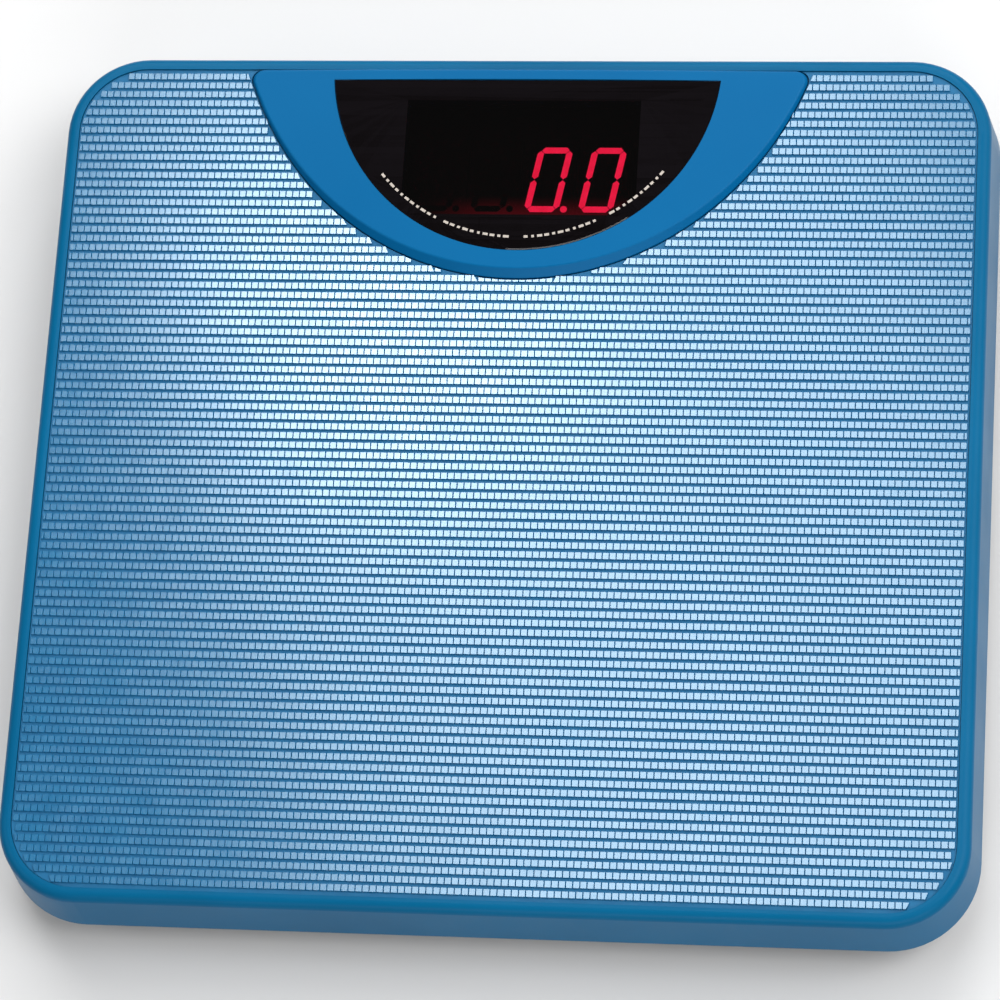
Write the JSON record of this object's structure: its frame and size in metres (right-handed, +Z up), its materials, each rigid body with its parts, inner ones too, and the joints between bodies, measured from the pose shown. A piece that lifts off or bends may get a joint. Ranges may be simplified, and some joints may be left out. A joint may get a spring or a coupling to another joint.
{
  "type": "digital bathroom scale",
  "caption": "Low digital bathroom scale with a ribbed blue mat, rounded skirt, crescent display surround with red LED digits, and sprung weighing feet.",
  "frame": {"origin": "on the floor, under the centre of the platform's outline", "axes": "+Z up; +Y from the person's side towards the display; +X to the person's right, along the longer side"},
  "size_m": [0.314, 0.295, 0.0416],
  "materials": {
    "blue_shell": "moulded ABS, satin gloss, mid blue",
    "tread_mat": "soft vinyl with a pearly blue coat",
    "bezel_blue": "smooth moulded ABS, deep blue",
    "smoked_lens": "smoked red acrylic, polished",
    "mask_black": "printed black film",
    "led_lit": "lit crimson light bar",
    "led_dark": "unlit light bar",
    "led_housing": "black display housing",
    "board_green": "glass-fibre board with green solder mask",
    "chip_black": "moulded epoxy",
    "tinned_steel": "bright zinc-plated or tinned steel",
    "socket_white": "natural nylon",
    "tray_dark": "moulded ABS, fine spark texture, charcoal",
    "beam_steel": "nickel-plated spring steel",
    "gauge_film": "polyimide film",
    "lead_jacket": "PVC jacket",
    "foot_rubber": "black rubber",
    "battery_can": "lacquered steel can, plain",
    "foam_grey": "open-cell foam"
  },
  "bodies": {
    "case": {"platform_shell": "blue_shell", "tread_mat": "tread_mat", "display_bezel": "bezel_blue", "display_lens": "smoked_lens", "display_mask": "mask_black", "lit_segments": "led_lit", "dark_segments": "led_dark", "display_board": "board_green", "controller_chip": "chip_black", "quartz_crystal": "tinned_steel", "sensor_sockets": "socket_white", "battery_socket": "socket_white", "board_screws": "tinned_steel", "bezel_screws": "tinned_steel", "base_tray": "tray_dark", "case_screws": "tinned_steel", "sensor_screws": "tinned_steel", "battery": "battery_can", "battery_snap": "chip_black", "battery_lead": "lead_jacket", "battery_foam": "foam_grey", "unit_switch": "chip_black", "led_module_1": "led_housing", "led_module_2": "led_housing", "led_module_3": "led_housing", "led_module_4": "led_housing", "sensor_beam_front_left": "beam_steel", "strain_gauge_front_left": "gauge_film", "sensor_lead_front_left": "lead_jacket", "sensor_beam_front_right": "beam_steel", "strain_gauge_front_right": "gauge_film", "sensor_lead_front_right": "lead_jacket", "sensor_beam_back_left": "beam_steel", "strain_gauge_back_left": "gauge_film", "sensor_lead_back_left": "lead_jacket", "sensor_beam_back_right": "beam_steel", "strain_gauge_back_right": "gauge_film", "sensor_lead_back_right": "lead_jacket"},
    "foot_front_left": {"foot_cup_front_left": "tray_dark", "foot_pad_front_left": "foot_rubber"},
    "foot_front_right": {"foot_cup_front_right": "tray_dark", "foot_pad_front_right": "foot_rubber"},
    "foot_back_left": {"foot_cup_back_left": "tray_dark", "foot_pad_back_left": "foot_rubber"},
    "foot_back_right": {"foot_cup_back_right": "tray_dark", "foot_pad_back_right": "foot_rubber"},
    "battery_door": {"battery_door": "tray_dark"},
    "unit_slider": {"unit_slider": "socket_white"}
  },
  "joints": [
    {"name": "foot_press_front_left", "type": "slide", "parent": "case", "child": "foot_front_left", "axis": [0, 0, 1], "range_m": [0, 0.0005], "stiffness_N_per_m": 3000, "springref_m": -0.004},
    {"name": "foot_press_front_right", "type": "slide", "parent": "case", "child": "foot_front_right", "axis": [0, 0, 1], "range_m": [0, 0.0005], "stiffness_N_per_m": 3000, "springref_m": -0.004},
    {"name": "foot_press_back_left", "type": "slide", "parent": "case", "child": "foot_back_left", "axis": [0, 0, 1], "range_m": [0, 0.0005], "stiffness_N_per_m": 3000, "springref_m": -0.004},
    {"name": "foot_press_back_right", "type": "slide", "parent": "case", "child": "foot_back_right", "axis": [0, 0, 1], "range_m": [0, 0.0005], "stiffness_N_per_m": 3000, "springref_m": -0.004},
    {"name": "battery_door_hinge", "type": "hinge", "parent": "case", "child": "battery_door", "pos_m": [-0.0598, 0.006, 0.0064], "axis": [0, 1, 0], "range_deg": [0, 95]},
    {"name": "unit_select", "type": "slide", "parent": "case", "child": "unit_slider", "axis": [1, 0, 0], "range_m": [-0.003, 0.003]}
  ]
}
